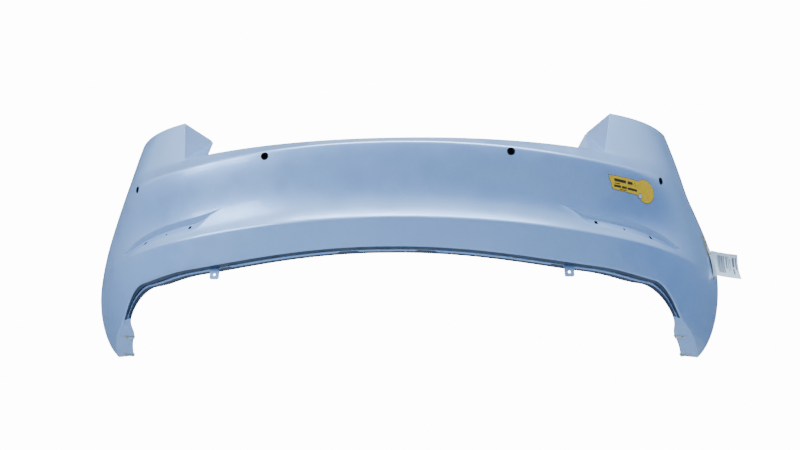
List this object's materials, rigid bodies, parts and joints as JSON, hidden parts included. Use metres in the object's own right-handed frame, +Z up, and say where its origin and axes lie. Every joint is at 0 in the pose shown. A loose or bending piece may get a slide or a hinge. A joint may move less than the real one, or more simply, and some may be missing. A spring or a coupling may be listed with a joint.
{
  "type": "bumper cover",
  "caption": "Painted rear bumper cover with upswept corner wings, two lower legs around a wide arch, and sockets for parking sensors.",
  "frame": {"origin": "centre locator hole of the top flange, at the flange's upper face", "axes": "+Z up, +Y forward into the car, +X to the right as seen from behind the car"},
  "size_m": [1.9783, 0.6125, 0.6153],
  "materials": {
    "pearl_paint": "pearl white clear-coated paint on moulded plastic",
    "black_plastic": "fine-grained black moulded plastic",
    "adhesive_foam": "grey foam tape",
    "zinc_steel": "zinc-plated spring steel",
    "yellow_vinyl": "printed yellow vinyl sticker with plain bars",
    "kraft_tape": "brown paper tape",
    "label_paper": "white paper label with plain bars"
  },
  "bodies": {
    "root": {"fascia_skin": "pearl_paint", "decal": "yellow_vinyl", "label_tape": "kraft_tape", "folded_label": "label_paper", "label_flag": "label_paper", "sensor_holder_inner_left": "black_plastic", "holder_pad_inner_left": "adhesive_foam", "sensor_holder_inner_right": "black_plastic", "holder_pad_inner_right": "adhesive_foam", "sensor_holder_outer_left": "black_plastic", "holder_pad_outer_left": "adhesive_foam", "sensor_holder_outer_right": "black_plastic", "holder_pad_outer_right": "adhesive_foam", "clip_nut_front_left": "zinc_steel", "clip_nut_front_right": "zinc_steel", "clip_nut_rear_left": "zinc_steel", "clip_nut_rear_right": "zinc_steel"}
  },
  "joints": []
}
